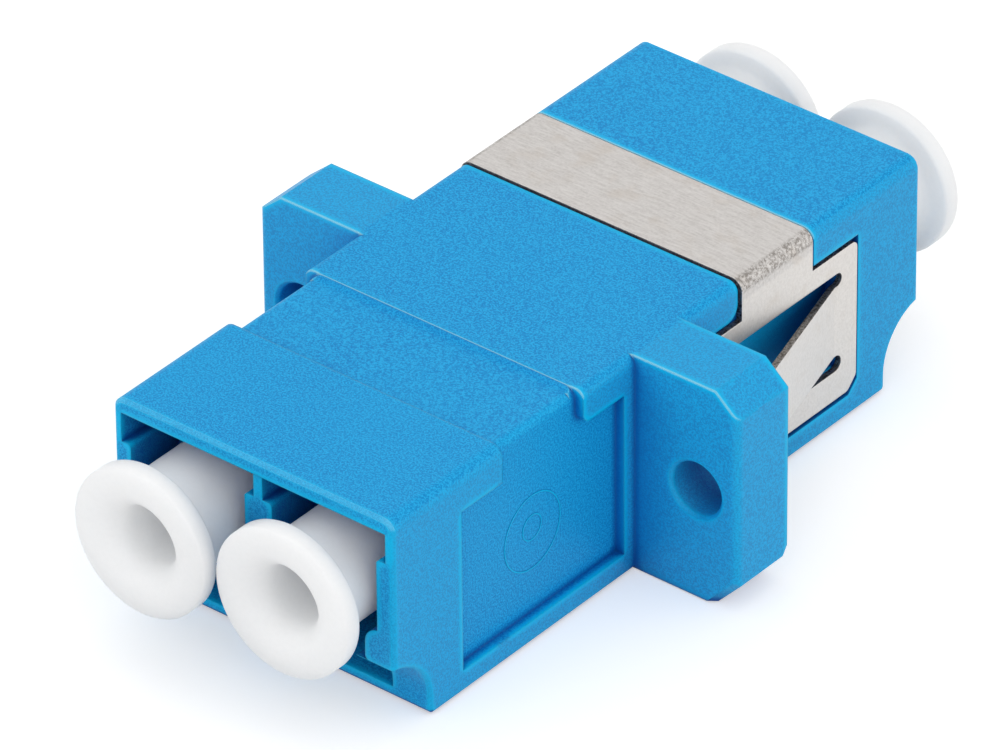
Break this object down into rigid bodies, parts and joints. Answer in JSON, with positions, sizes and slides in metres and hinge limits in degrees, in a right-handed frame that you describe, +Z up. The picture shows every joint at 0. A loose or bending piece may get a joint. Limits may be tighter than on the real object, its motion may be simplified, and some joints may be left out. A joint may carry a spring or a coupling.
{
  "type": "duplex LC fibre adapter",
  "caption": "Blue moulded LC fibre coupler body with a screw flange, a spring clip for a panel cut-out and white dust caps in its ports.",
  "frame": {"origin": "middle of the two screw holes, on the flange's rear face, which seats on the panel", "axes": "+X across the two channels, +Y from the front ports to the rear ports, +Z up, away from the latch side"},
  "size_m": [0.022, 0.0358, 0.0093],
  "materials": {
    "blue_plastic": "satin moulded",
    "spring_steel": "fine grained",
    "zirconia": "ground and polished ceramic",
    "cap_white": "soft satin"
  },
  "bodies": {
    "adapter": {"housing_front": "blue_plastic", "housing_rear": "blue_plastic", "spring_clip": "spring_steel", "sleeve_left": "zirconia", "sleeve_right": "zirconia"},
    "cap_front_left": {"dust_cap_front_left": "cap_white"},
    "cap_front_right": {"dust_cap_front_right": "cap_white"},
    "cap_rear_left": {"dust_cap_rear_left": "cap_white"},
    "cap_rear_right": {"dust_cap_rear_right": "cap_white"}
  },
  "joints": [
    {"name": "pull_cap_front_left", "type": "slide", "parent": "adapter", "child": "cap_front_left", "axis": [0, -1, 0], "range_m": [0, 0.014]},
    {"name": "pull_cap_front_right", "type": "slide", "parent": "adapter", "child": "cap_front_right", "axis": [0, -1, 0], "range_m": [0, 0.014]},
    {"name": "pull_cap_rear_left", "type": "slide", "parent": "adapter", "child": "cap_rear_left", "axis": [0, 1, 0], "range_m": [0, 0.014]},
    {"name": "pull_cap_rear_right", "type": "slide", "parent": "adapter", "child": "cap_rear_right", "axis": [0, 1, 0], "range_m": [0, 0.014]}
  ]
}
